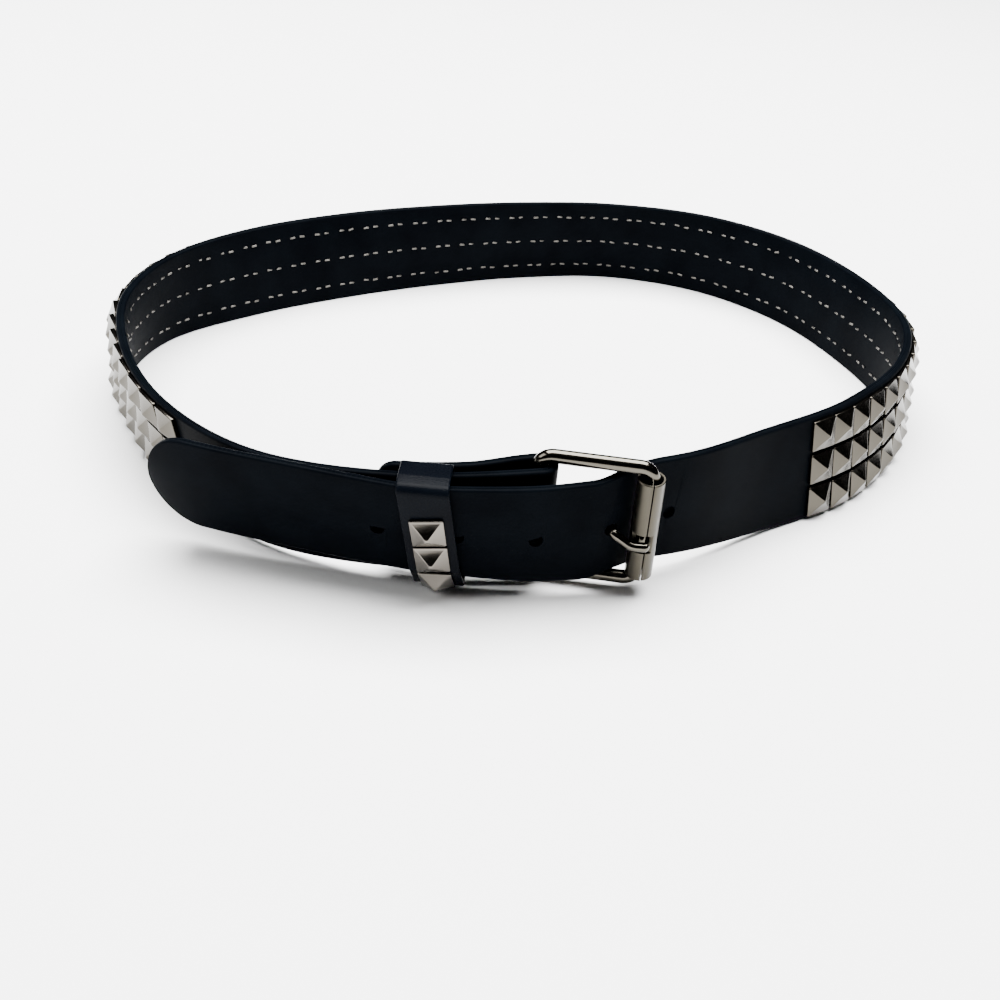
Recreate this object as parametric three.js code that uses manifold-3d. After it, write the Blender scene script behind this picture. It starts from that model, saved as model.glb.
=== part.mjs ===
// A studded leather belt, fastened in a loop and standing on its edge.
// Millimetres, +Z up, buckle towards -Y. The origin is under the middle of the whole belt.

import * as THREE from "three";
import Module from "manifold-3d";
import { mergeVertices } from "three/addons/utils/BufferGeometryUtils.js";

const wasm = await Module();
wasm.setup();

// The loop
const loopWidth = 303;
const loopDepth = 265;
const strapWidth = 38;
const strapThickness = 3.2;
const edgeBevel = 0.5;

// The free end, the holes and the fold
const freeEndLength = 119;
const freeEndRise = 2.3;
const freeEndLean = 7;
const freeEndCurl = 0.3;
const freeEndSag = 1.2;
const foldBulge = 1.5;
const tipLength = 15;
const holeDiameter = 4.7;
const holePitch = 22.6;
const holeDrop = 1.5;
const holesInsideBuckle = 1;
const holesPastProng = 3;
const prongHoleReach = 21.2;
const foldedEndLength = 49.5;
const foldedEndCorner = 6;
const slotLength = 9;

// The buckle
const frameWire = 4.5;
const frameLength = 34.5;
const frameEase = 0.7;
const frameYaw = 15.5;
const frameTip = 1.3;
const frameRise = 1;
const pivotBend = 4.5;
const rollerBend = 4.4;
const rollerDiameter = 8.6;
const rollerWall = 0.8;
const rollerLength = 37.6;
const rollerDrop = 0.1;
const rollerOut = 0.5;
const rollerTurn = 1.6;
const notchWidth = 7;
const notchDepth = 1.2;
const prongWire = 3.2;
const prongBend = 2.4;
const prongDroop = 3.4;
const prongLift = 1;

// The keeper
const keeperPlace = 31;
const keeperWidth = 15.6;
const keeperThickness = 1.4;
const keeperEase = 0.6;
const keeperSlant = 5.4;
const keeperBulge = 3;
const keeperStudSize = 10.3;
const keeperStudHeight = 3.7;
const keeperStudPitch = 10.8;
const keeperStudTilt = 25;

// The studs
const studSize = 10.9;
const studHeight = 3.6;
const studWeb = 0.8;
const studPitch = 11.72;
const studRowPitch = 12.2;
const studRows = 3;
const studColumns = 55;
const studsFromPivot = 111;
const studSeat = 0.6;

// Gaps and steps
const gap = 0.3;
const plyGap = 0.5;
const strapStep = 6;
const wireSides = 12;

// The loop's stations, clockwise from the pivot bar as seen from above. x and y are shares of the
// loop's width and depth, lean is the top edge's outward tilt in degrees, and lift is a share of
// the height at which the buckle carries the strap.
const stations = [
  { x: 0.031, y: -0.491, lean: 7.1, lift: 1 },
  { x: -0.106, y: -0.502, lean: 9.5, lift: 0.65 },
  { x: -0.246, y: -0.461, lean: 11.1, lift: 0.24 },
  { x: -0.355, y: -0.358, lean: 11.5, lift: 0.06 },
  { x: -0.438, y: -0.221, lean: 7.1, lift: 0 },
  { x: -0.498, y: -0.073, lean: -5.4, lift: 0 },
  { x: -0.476, y: 0.077, lean: -5.6, lift: 0 },
  { x: -0.38, y: 0.199, lean: 2.9, lift: 0 },
  { x: -0.266, y: 0.3, lean: 4, lift: 0 },
  { x: -0.143, y: 0.386, lean: -0.2, lift: 0 },
  { x: -0.013, y: 0.457, lean: -5, lift: 0 },
  { x: 0.125, y: 0.499, lean: -7.6, lift: 0 },
  { x: 0.267, y: 0.471, lean: -3.7, lift: 0 },
  { x: 0.383, y: 0.373, lean: 1.7, lift: 0 },
  { x: 0.458, y: 0.233, lean: 4.3, lift: 0 },
  { x: 0.5, y: 0.074, lean: 0.1, lift: 0 },
  { x: 0.479, y: -0.083, lean: -6.8, lift: 0 },
  { x: 0.4, y: -0.225, lean: -10.8, lift: 0 },
  { x: 0.287, y: -0.33, lean: -5.8, lift: 0.17 },
  { x: 0.172, y: -0.431, lean: 2.6, lift: 0.78 },
];

const leather = new THREE.MeshStandardMaterial({ color: 0x16181d, roughness: 0.5, metalness: 0 });
const nickel = new THREE.MeshStandardMaterial({ color: 0xb4b1aa, roughness: 0.25, metalness: 1 });

const radians = THREE.MathUtils.degToRad;
const plyStep = strapThickness + plyGap;
const foldRadius = frameWire / 2 + 2 * gap + strapThickness / 2;
const buckleLean = radians(stations[0].lean);
const frameReach = frameEase + frameWire;
const buckleLift = frameReach + frameRise
  + frameLength * Math.sin(radians(frameYaw)) * Math.sin(buckleLean);

// Plan of the loop: the strap's middle line at its lower edge
const planCurve = new THREE.CatmullRomCurve3(
  stations.map((s) => new THREE.Vector3(s.x * loopWidth, s.y * loopDepth, s.lift * buckleLift)),
  true, "catmullrom", 0.5);
const leanCurve = new THREE.CatmullRomCurve3(
  stations.map((s) => new THREE.Vector3(radians(s.lean), 0, 0)), true, "catmullrom", 0.5);

// Distance along the plan for even steps of the curve's parameter
const planSteps = 800;
const planTable = [0];
for (let i = 1; i <= planSteps; i += 1) {
  const a = planCurve.getPoint((i - 1) / planSteps);
  const b = planCurve.getPoint(i / planSteps);
  planTable.push(planTable[i - 1] + Math.hypot(b.x - a.x, b.y - a.y));
}
const loopLength = planTable[planSteps];

// Turns a vector in plan a quarter turn to the left of its own direction
function leftOf(direction) {
  return new THREE.Vector2(-direction.y, direction.x);
}

function smooth(value, from, to) {
  return THREE.MathUtils.smoothstep(value, from, to);
}

// The loop at a distance from the pivot bar: its place, direction, outward side, lean and lift
function loopAt(distance) {
  const wrapped = ((distance % loopLength) + loopLength) % loopLength;
  let low = 0;
  let high = planSteps;
  while (high - low > 1) {
    const middle = (low + high) >> 1;
    if (planTable[middle] > wrapped) high = middle;
    else low = middle;
  }
  const share = (wrapped - planTable[low]) / (planTable[high] - planTable[low]);
  const t = (low + share) / planSteps;
  const step = 0.25 / planSteps;
  const point = planCurve.getPoint(t % 1);
  const ahead = planCurve.getPoint((t + step) % 1);
  const behind = planCurve.getPoint((t - step + 1) % 1);
  const along = new THREE.Vector2(ahead.x - behind.x, ahead.y - behind.y).normalize();
  return {
    place: new THREE.Vector2(point.x, point.y),
    along,
    out: leftOf(along),
    lean: leanCurve.getPoint(t % 1).x,
    lift: Math.max(0, point.z),
  };
}

// One point of the strap's line: its plan, its lean as a vector in plan, and its lower edge
function strapPoint(place, out, lean, lift) {
  return {
    place,
    tilt: out.clone().multiplyScalar(Math.sin(lean)),
    rise: Math.cos(lean),
    lift,
    low: 0,
    high: strapWidth,
  };
}

// The buckle's weight turns it a little in its own plane, and the strap behind it turns along
function tipped(point, along, share) {
  point.tilt.addScaledVector(along, Math.sin(radians(frameTip)) * share);
  return point;
}

function loopPoint(distance, offset) {
  const at = loopAt(distance);
  const point = strapPoint(at.place.addScaledVector(at.out, offset), at.out, at.lean, at.lift);
  return tipped(point, at.along, 1 - smooth(distance, 0, foldedEndLength));
}

// How far inside the rear strap the folded end runs
function foldedOffset(distance) {
  const atPivot = 2 * foldRadius;
  const behindKeeper = strapThickness + keeperThickness + 2 * keeperEase + gap;
  return -THREE.MathUtils.lerp(atPivot, behindKeeper, smooth(distance, 0, keeperPlace - keeperWidth / 2));
}

// How far in front of the loop's line the free end runs: from behind the roller it comes out over
// the fold, which pushes it away, and it is close again at the keeper
function freeEndOffset(past) {
  const overFold = smooth(past, -frameLength, -frameLength / 2) * (1 - smooth(past, 0, keeperPlace));
  return plyStep * smooth(past, -frameLength * 1.15, -frameLength / 2) + foldBulge * overFold;
}

const keeperEnd = keeperPlace + keeperWidth / 2 + keeperSlant / 2;

// How much more than the loop the free end leans outward
function freeEndTilt(past) {
  return radians(freeEndLean) * smooth(past, -frameLength * 0.6, keeperPlace * 1.4);
}

// The free end's lower edge: once it is in front of the frame's lower wire it hangs a little in
// front of it, and then stays up while the loop behind it sinks
function freeEndLift(past, loopLift) {
  const hung = frameRise + freeEndSag * (1 - smooth(past, -frameLength / 4, keeperPlace * 0.65));
  return (past < 0 ? loopLift : buckleLift)
    - hung * smooth(past, -frameLength * 0.7, -frameLength * 0.4)
    + freeEndRise * smooth(past, keeperPlace * 0.5, freeEndLength * 0.7);
}

// The free end: over the fold, through the keeper, then straighter than the loop under it
function freeEndPoint(past) {
  const tilt = freeEndTilt(past);
  if (past <= keeperEnd) {
    const at = loopAt(loopLength + past);
    const place = at.place.addScaledVector(at.out, freeEndOffset(past));
    return strapPoint(place, at.out, at.lean + tilt, freeEndLift(past, at.lift));
  }
  const start = loopPoint(loopLength + keeperEnd, freeEndOffset(keeperEnd));
  const startAt = loopAt(keeperEnd);
  const startAngle = Math.atan2(startAt.along.y, startAt.along.x);
  const place = start.place.clone();
  const steps = Math.ceil(past - keeperEnd);
  const length = (past - keeperEnd) / steps;
  const heading = new THREE.Vector2();
  for (let i = 0; i < steps; i += 1) {
    const at = loopAt(keeperEnd + (i + 0.5) * length);
    const turned = Math.atan2(at.along.y, at.along.x) - startAngle;
    const wrapped = Math.atan2(Math.sin(turned), Math.cos(turned));
    const angle = startAngle + wrapped * freeEndCurl;
    heading.set(Math.cos(angle), Math.sin(angle));
    place.addScaledVector(heading, length);
  }
  return strapPoint(place, leftOf(heading), startAt.lean + tilt, freeEndLift(past, startAt.lift));
}

// A rounded end: steps from the very end to where the full width starts
function roundedEnd(length, halfWidth, steps) {
  const list = [];
  for (let i = 0; i < steps; i += 1) {
    const angle = THREE.MathUtils.lerp(radians(7), radians(90), i / steps);
    list.push({ distance: length * (1 - Math.cos(angle)), inset: halfWidth * (1 - Math.sin(angle)) });
  }
  return list;
}

function inset(point, amount) {
  point.low = amount;
  point.high = strapWidth - amount;
  return point;
}

// The whole strap's line, from the end of the folded end to the tip
function strapLine() {
  const line = [];
  for (const end of roundedEnd(foldedEndCorner, foldedEndCorner, 4)) {
    const distance = foldedEndLength - end.distance;
    line.push(inset(loopPoint(distance, foldedOffset(distance)), end.inset));
  }
  const foldedSteps = Math.ceil((foldedEndLength - foldedEndCorner) / strapStep);
  for (let i = 0; i < foldedSteps; i += 1) {
    const distance = (foldedEndLength - foldedEndCorner) * (1 - i / foldedSteps);
    line.push(loopPoint(distance, foldedOffset(distance)));
  }
  const pivot = loopAt(0);
  const foldSteps = 10;
  for (let i = 0; i <= foldSteps; i += 1) {
    const angle = Math.PI * (i / foldSteps - 0.5);
    const place = pivot.place.clone();
    place.addScaledVector(pivot.along, -foldRadius * Math.cos(angle));
    place.addScaledVector(pivot.out, foldRadius * (Math.sin(angle) - 1));
    line.push(tipped(strapPoint(place, pivot.out, pivot.lean, pivot.lift), pivot.along, 1));
  }
  const fullEnd = freeEndLength - tipLength;
  const mainSteps = Math.ceil((loopLength + fullEnd) / strapStep);
  for (let i = 1; i <= mainSteps; i += 1) {
    const distance = (loopLength + fullEnd) * (i / mainSteps);
    line.push(distance < loopLength - 2 * frameLength
      ? loopPoint(distance, 0)
      : freeEndPoint(distance - loopLength));
  }
  for (const end of roundedEnd(tipLength, strapWidth / 2, 8).reverse()) {
    line.push(inset(freeEndPoint(freeEndLength - end.distance), end.inset));
  }
  return line;
}

// Outward side of each point of a line, square to the line in plan
function lineSides(line) {
  return line.map((point, i) => {
    const before = line[Math.max(0, i - 1)].place;
    const after = line[Math.min(line.length - 1, i + 1)].place;
    return leftOf(after.clone().sub(before).normalize());
  });
}

// A point of the strap's section: out from its middle, and up its width
function sectionPoint(point, side, out, up) {
  return new THREE.Vector3(
    point.place.x + side.x * out + point.tilt.x * up,
    point.place.y + side.y * out + point.tilt.y * up,
    point.lift + point.rise * up);
}

// Closed body through rings of equal length; an open row of rings gets a flat end at each side
function bodyFromRings(rings, closed) {
  const count = rings[0].length;
  const positions = rings.flat().flatMap((p) => [p.x, p.y, p.z]);
  const faces = [];
  const spans = closed ? rings.length : rings.length - 1;
  for (let i = 0; i < spans; i += 1) {
    const a = i * count;
    const b = ((i + 1) % rings.length) * count;
    for (let j = 0; j < count; j += 1) {
      const k = (j + 1) % count;
      faces.push(a + j, b + j, b + k, a + j, b + k, a + k);
    }
  }
  if (!closed) {
    const last = (rings.length - 1) * count;
    for (let j = 1; j < count - 1; j += 1) {
      faces.push(0, j, j + 1);
      faces.push(last, last + j + 1, last + j);
    }
  }
  return outwardBody(positions, faces);
}

// Turns the faces outward where their volume comes out negative
function outwardBody(positions, faces) {
  let volume = 0;
  const corner = (i) => new THREE.Vector3(positions[3 * i], positions[3 * i + 1], positions[3 * i + 2]);
  for (let i = 0; i < faces.length; i += 3) {
    volume += corner(faces[i]).dot(corner(faces[i + 1]).cross(corner(faces[i + 2])));
  }
  if (volume < 0) {
    for (let i = 0; i < faces.length; i += 3) {
      [faces[i + 1], faces[i + 2]] = [faces[i + 2], faces[i + 1]];
    }
  }
  const geometry = new THREE.BufferGeometry();
  geometry.setAttribute("position", new THREE.Float32BufferAttribute(positions, 3));
  geometry.setIndex(faces);
  return geometry;
}

function solidFrom(geometry) {
  const bare = geometry.clone();
  bare.deleteAttribute("normal");
  bare.deleteAttribute("uv");
  const merged = mergeVertices(bare, 1e-5);
  const mesh = new wasm.Mesh({
    numProp: 3,
    vertProperties: new Float32Array(merged.attributes.position.array),
    triVerts: new Uint32Array(merged.index.array),
  });
  mesh.merge();
  return new wasm.Manifold(mesh);
}

function geometryFrom(solid) {
  const mesh = solid.getMesh();
  const geometry = new THREE.BufferGeometry();
  geometry.setAttribute("position", new THREE.Float32BufferAttribute(mesh.vertProperties, 3));
  geometry.setIndex(Array.from(mesh.triVerts));
  return geometry;
}

function named(name, geometry, material) {
  geometry.computeVertexNormals();
  const mesh = new THREE.Mesh(geometry, material);
  mesh.name = name;
  return mesh;
}

// The strap with its holes and the slot for the prong
function makeStrap() {
  const line = strapLine();
  const sides = lineSides(line);
  const half = strapThickness / 2;
  const rings = line.map((point, i) => [
    [-half, point.low + edgeBevel],
    [-half + edgeBevel, point.low],
    [half - edgeBevel, point.low],
    [half, point.low + edgeBevel],
    [half, point.high - edgeBevel],
    [half - edgeBevel, point.high],
    [-half + edgeBevel, point.high],
    [-half, point.high - edgeBevel],
  ].map(([out, up]) => sectionPoint(point, sides[i], out, up)));
  let strap = solidFrom(bodyFromRings(rings, false));
  for (let i = -holesInsideBuckle; i <= holesPastProng; i += 1) {
    strap = strap.subtract(strapHole(i * holePitch - prongHoleReach));
  }
  return geometryFrom(strap.subtract(prongSlot()));
}

// The frame of the free end at a distance past the pivot bar
function freeEndFrame(past) {
  const point = freeEndPoint(past);
  const ahead = freeEndPoint(past + 0.5).place;
  const behind = freeEndPoint(past - 0.5).place;
  return { point, side: leftOf(ahead.clone().sub(behind).normalize()) };
}

function strapHole(past) {
  const { point, side } = freeEndFrame(past);
  const middle = sectionPoint(point, side, 0, strapWidth / 2 - holeDrop);
  const depth = strapThickness + plyGap * 1.6;
  const hole = new THREE.CylinderGeometry(holeDiameter / 2, holeDiameter / 2, depth, 16);
  hole.applyQuaternion(new THREE.Quaternion().setFromUnitVectors(
    new THREE.Vector3(0, 1, 0), new THREE.Vector3(side.x, side.y, 0)));
  hole.translate(middle.x, middle.y, middle.z);
  return solidFrom(hole);
}

// The buckle's own space: x towards the roller, y inward, z up along the pivot bar
function buckleMatrix() {
  const pivot = loopAt(0);
  const middle = tipped(
    strapPoint(pivot.place.clone(), pivot.out, pivot.lean, pivot.lift), pivot.along, 1);
  const up = new THREE.Vector3(middle.tilt.x, middle.tilt.y, middle.rise).normalize();
  const inward = new THREE.Vector3(-pivot.along.x, -pivot.along.y, 0).cross(up).negate().normalize();
  const forward = new THREE.Vector3().crossVectors(inward, up);
  const origin = sectionPoint(middle, pivot.out, -foldRadius, strapWidth / 2);
  return new THREE.Matrix4().makeBasis(forward, inward, up).setPosition(origin);
}

// The frame's own space: the buckle's, turned about the pivot bar
function frameMatrix() {
  return buckleMatrix().multiply(new THREE.Matrix4().makeRotationZ(-radians(frameYaw)));
}

// The slot through both plies of the fold, at the prong's height
function prongSlot() {
  const width = prongWire + 6 * gap;
  const depth = 2 * foldRadius + strapThickness + plyGap * 0.8;
  const outer = foldRadius + strapThickness;
  const slot = new THREE.BoxGeometry(slotLength + outer, depth, width);
  slot.translate((outer - slotLength) / 2, 0, prongCrossing(frameMatrix().invert()).middle.z);
  slot.applyMatrix4(buckleMatrix());
  return solidFrom(slot);
}

// Row of straight runs with round bends between them
function bentPath(corners, closed) {
  const path = new THREE.CurvePath();
  const count = corners.length;
  let last = null;
  let first = null;
  for (let i = 0; i < count; i += 1) {
    const { at, bend } = corners[i];
    const before = corners[(i - 1 + count) % count].at;
    const after = corners[(i + 1) % count].at;
    const isEnd = !closed && (i === 0 || i === count - 1);
    let entry = at;
    let exit = at;
    let arc = null;
    if (!isEnd && bend > 0) {
      const toBefore = before.clone().sub(at).normalize();
      const toAfter = after.clone().sub(at).normalize();
      const halfAngle = Math.acos(THREE.MathUtils.clamp(toBefore.dot(toAfter), -1, 1)) / 2;
      const reach = bend / Math.tan(halfAngle);
      entry = at.clone().addScaledVector(toBefore, reach);
      exit = at.clone().addScaledVector(toAfter, reach);
      const middle = toBefore.clone().add(toAfter).normalize();
      const centre = at.clone().addScaledVector(middle, bend / Math.sin(halfAngle));
      arc = new BendArc(centre, entry, exit);
    }
    if (last) path.add(new THREE.LineCurve3(last, entry));
    if (arc) path.add(arc);
    if (!first) first = entry;
    last = exit;
  }
  if (closed) path.add(new THREE.LineCurve3(last, first));
  return path;
}

// A round bend from one point to another about a centre
class BendArc extends THREE.Curve {
  constructor(centre, from, to) {
    super();
    this.centre = centre;
    this.from = from.clone().sub(centre);
    this.to = to.clone().sub(centre);
    this.angle = this.from.angleTo(this.to);
  }

  getPoint(t) {
    const a = Math.sin((1 - t) * this.angle) / Math.sin(this.angle);
    const b = Math.sin(t * this.angle) / Math.sin(this.angle);
    return this.centre.clone().addScaledVector(this.from, a).addScaledVector(this.to, b);
  }
}

// Points along a bent path: the ends of its straight runs, and steps round its bends
function pathPoints(path, closed) {
  const points = [];
  for (const curve of path.curves) {
    const steps = curve instanceof BendArc ? Math.max(3, Math.ceil(curve.angle / radians(16))) : 1;
    for (let i = 0; i < steps; i += 1) {
      points.push(curve.getPoint(i / steps));
    }
  }
  if (!closed) points.push(path.curves[path.curves.length - 1].getPoint(1));
  return points.filter((p, i) => i === 0 || p.distanceTo(points[i - 1]) > 1e-3);
}

// Round wire along points that lie near one plane, whose normal is given
function wireBody(points, radius, normal, closed) {
  const count = points.length;
  const rings = points.map((point, i) => {
    const before = points[closed ? (i - 1 + count) % count : Math.max(0, i - 1)];
    const after = points[closed ? (i + 1) % count : Math.min(count - 1, i + 1)];
    const into = point.clone().sub(before).normalize();
    const away = after.clone().sub(point).normalize();
    const direction = into.clone().add(away).normalize();
    const across = new THREE.Vector3().crossVectors(normal, direction).normalize();
    const stretch = into.lengthSq() * away.lengthSq() > 0.5
      ? 1 / Math.cos(into.angleTo(away) / 2)
      : 1;
    const ring = [];
    for (let j = 0; j < wireSides; j += 1) {
      const angle = (2 * Math.PI * (j + 0.5)) / wireSides;
      ring.push(point.clone()
        .addScaledVector(across, radius * stretch * Math.cos(angle))
        .addScaledVector(normal, radius * Math.sin(angle)));
    }
    return ring;
  });
  return bodyFromRings(rings, closed);
}

// The bent wire frame, in its own space: x from the pivot bar to the roller bar
function makeFrame() {
  const halfHeight = strapWidth / 2 + frameEase + frameWire / 2;
  const corners = [
    { at: new THREE.Vector3(0, 0, -halfHeight), bend: pivotBend },
    { at: new THREE.Vector3(0, 0, halfHeight), bend: pivotBend },
    { at: new THREE.Vector3(frameLength, 0, halfHeight), bend: rollerBend },
    { at: new THREE.Vector3(frameLength, 0, -halfHeight), bend: rollerBend },
  ];
  const points = pathPoints(bentPath(corners, true), true);
  return wireBody(points, frameWire / 2, new THREE.Vector3(0, 1, 0), true);
}

// The roller: a tube with a notch on its pivot side and front, where the prong rests
function makeRoller(prong) {
  const outer = rollerDiameter / 2;
  const inner = outer - rollerWall;
  const half = rollerLength / 2;
  const profile = [
    new THREE.Vector2(inner, -half),
    new THREE.Vector2(outer, -half),
    new THREE.Vector2(outer, half),
    new THREE.Vector2(inner, half),
    new THREE.Vector2(inner, -half),
  ];
  const tube = new THREE.LatheGeometry(profile, 24);
  tube.rotateX(Math.PI / 2);
  tube.rotateY(radians(-rollerTurn));
  tube.translate(0, -rollerOut, -rollerDrop);
  const [from, to] = prong.slice(-2).map((corner) => corner.at);
  const run = to.clone().sub(from);
  const notch = new THREE.BoxGeometry(rollerDiameter * 3, rollerDiameter, notchWidth);
  notch.translate(0, -rollerDiameter / 2 + prongWire / 2 + gap, 0);
  notch.rotateZ(Math.atan2(run.y, run.x));
  notch.translate(from.x + run.x / 2 - frameLength, from.y + run.y / 2, to.z);
  const cut = solidFrom(tube).subtract(solidFrom(notch));
  return geometryFrom(cut);
}

// Where the prong goes through the free end, in the frame's space
function prongCrossing(toFrame) {
  const { point, side } = freeEndFrame(-prongHoleReach);
  const height = strapWidth / 2 - holeDrop;
  const middle = sectionPoint(point, side, 0, height).applyMatrix4(toFrame);
  const tip = sectionPoint(point, side, 1, height).applyMatrix4(toFrame);
  const out = tip.sub(middle);
  out.z = 0;
  return { middle, out: out.normalize() };
}

// The prong's corners: from its eye it runs behind the free end, up through its hole and on over
// the front of the roller
function prongCorners(toFrame) {
  const radius = prongWire / 2;
  const eye = frameWire / 2 + gap + radius;
  const { middle, out } = prongCrossing(toFrame);
  const stand = strapThickness / 2 + 2 * gap + radius;
  const front = rollerDiameter / 2 + rollerOut - notchDepth + gap + radius;
  const start = middle.clone().addScaledVector(out, stand);
  const tip = new THREE.Vector3(frameLength + rollerDiameter / 4, -front, middle.z);
  const crook = start.clone().lerp(tip, 0.5);
  crook.z -= prongDroop;
  tip.z -= prongDroop - prongLift;
  return [
    { at: new THREE.Vector3(0, -eye, middle.z), bend: 0 },
    { at: middle.clone().addScaledVector(out, -stand), bend: prongBend },
    { at: start, bend: prongBend },
    { at: crook, bend: 2 * prongBend },
    { at: tip, bend: 0 },
  ];
}

function makeProng(corners) {
  const radius = prongWire / 2;
  const eye = frameWire / 2 + gap + radius;
  const points = [];
  const eyeSteps = 16;
  for (let i = 0; i < eyeSteps; i += 1) {
    const angle = radians(THREE.MathUtils.lerp(350, 90, i / eyeSteps));
    points.push(new THREE.Vector3(eye * Math.cos(angle), -eye * Math.sin(angle), corners[0].at.z));
  }
  points.push(...pathPoints(bentPath(corners, false), false));
  return wireBody(points, radius, new THREE.Vector3(0, 0, 1), false);
}

function makeBuckle() {
  const buckle = new THREE.Group();
  frameMatrix().decompose(buckle.position, buckle.quaternion, buckle.scale);
  buckle.add(named("buckle_frame", makeFrame(), nickel));
  const prong = prongCorners(frameMatrix().invert());
  const roller = named("buckle_roller", makeRoller(prong), nickel);
  roller.position.x = frameLength;
  buckle.add(roller);
  buckle.add(named("buckle_prong", makeProng(prong), nickel));
  return buckle;
}

// The keeper's band seen from its end, in its own space: y inward and z up from the rear strap.
// Its front leans with the free end, and its lower part stands away.
function keeperLine() {
  const middle = keeperThickness / 2 + keeperEase;
  const back = strapThickness / 2 + middle;
  const front = -(freeEndOffset(keeperPlace) + back);
  const lean = freeEndTilt(keeperEnd);
  const frontTop = front - strapWidth * Math.sin(lean);
  const raised = freeEndLift(keeperEnd, 0) - loopAt(keeperPlace).lift;
  const top = raised + strapWidth * Math.cos(lean) + middle;
  const tilt = radians(keeperStudTilt);
  const facet = keeperStudSize + 2 * gap;
  const low = facet * Math.cos(tilt) - middle;
  const bulged = front - keeperBulge;
  return [
    { at: new THREE.Vector3(0, frontTop, top), bend: keeperThickness * 1.5 },
    { at: new THREE.Vector3(0, bulged, low), bend: keeperThickness },
    { at: new THREE.Vector3(0, bulged + facet * Math.sin(tilt), -middle), bend: keeperThickness },
    { at: new THREE.Vector3(0, back, -middle), bend: keeperThickness },
    { at: new THREE.Vector3(0, back, strapWidth + middle), bend: keeperThickness },
    { at: new THREE.Vector3(0, frontTop + 2 * back, top), bend: keeperThickness },
  ];
}

// Shift of the slanted keeper along the strap at a height
function slantAt(height) {
  return keeperSlant * (0.5 - height / strapWidth);
}

function makeKeeperBand() {
  const path = bentPath(keeperLine(), true);
  const points = pathPoints(path, true);
  const count = points.length;
  const half = keeperThickness / 2;
  const rings = points.map((point, i) => {
    const before = points[(i - 1 + count) % count];
    const after = points[(i + 1) % count];
    const into = point.clone().sub(before).normalize();
    const away = after.clone().sub(point).normalize();
    const direction = into.clone().add(away).normalize();
    const across = new THREE.Vector3(0, direction.z, -direction.y);
    const reach = half / Math.cos(into.angleTo(away) / 2);
    return [[-1, -1], [1, -1], [1, 1], [-1, 1]].map(([x, side]) => new THREE.Vector3(
      slantAt(point.z) + (x * keeperWidth) / 2,
      point.y + across.y * side * reach,
      point.z + across.z * side * reach));
  });
  return bodyFromRings(rings, true);
}

// A low square pyramid stud with a short upright rim, its base at z = 0
function makeStud(size, height, rim) {
  const half = size / 2;
  const square = (z) => [[-half, -half, z], [half, -half, z], [half, half, z], [-half, half, z]];
  const positions = [...square(0), ...square(rim), [0, 0, height]].flat();
  const faces = [0, 2, 1, 0, 3, 2];
  for (let i = 0; i < 4; i += 1) {
    const j = (i + 1) % 4;
    faces.push(i, j, j + 4, i, j + 4, i + 4, i + 4, j + 4, 8);
  }
  return outwardBody(positions, faces);
}

function makeKeeper() {
  const at = loopAt(keeperPlace);
  const keeper = new THREE.Group();
  const up = new THREE.Vector3(
    at.out.x * Math.sin(at.lean), at.out.y * Math.sin(at.lean), Math.cos(at.lean));
  const forward = new THREE.Vector3(-at.along.x, -at.along.y, 0);
  const inward = new THREE.Vector3().crossVectors(up, forward);
  const matrix = new THREE.Matrix4().makeBasis(forward, inward, up);
  matrix.setPosition(at.place.x, at.place.y, at.lift);
  matrix.decompose(keeper.position, keeper.quaternion, keeper.scale);
  keeper.add(named("keeper", makeKeeperBand(), leather));
  const line = keeperLine();
  const [top, low, bottom] = line.map((corner) => corner.at);
  const slant = keeperSlant / strapWidth;
  for (let i = 0; i < 3; i += 1) {
    const onFacet = i === 2;
    const from = onFacet ? bottom : low;
    const to = onFacet ? low : top;
    const direction = to.clone().sub(from).normalize();
    const out = new THREE.Vector3(0, -direction.z, direction.y);
    const along = onFacet
      ? from.distanceTo(to) / 2
      : keeperStudSize / 2 + gap + (1 - i) * keeperStudPitch;
    const centre = from.clone().addScaledVector(direction, along);
    centre.addScaledVector(out, keeperThickness / 2 + gap);
    centre.x += slantAt(centre.z);
    const stud = named(`keeper_stud_${i + 1}`, makeStud(keeperStudSize, keeperStudHeight, studWeb), nickel);
    direction.x = -slant * direction.z;
    direction.normalize();
    const sideways = new THREE.Vector3().crossVectors(direction, out);
    stud.quaternion.setFromRotationMatrix(new THREE.Matrix4().makeBasis(sideways, direction, out));
    stud.position.copy(centre);
    keeper.add(stud);
  }
  return keeper;
}

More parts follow.
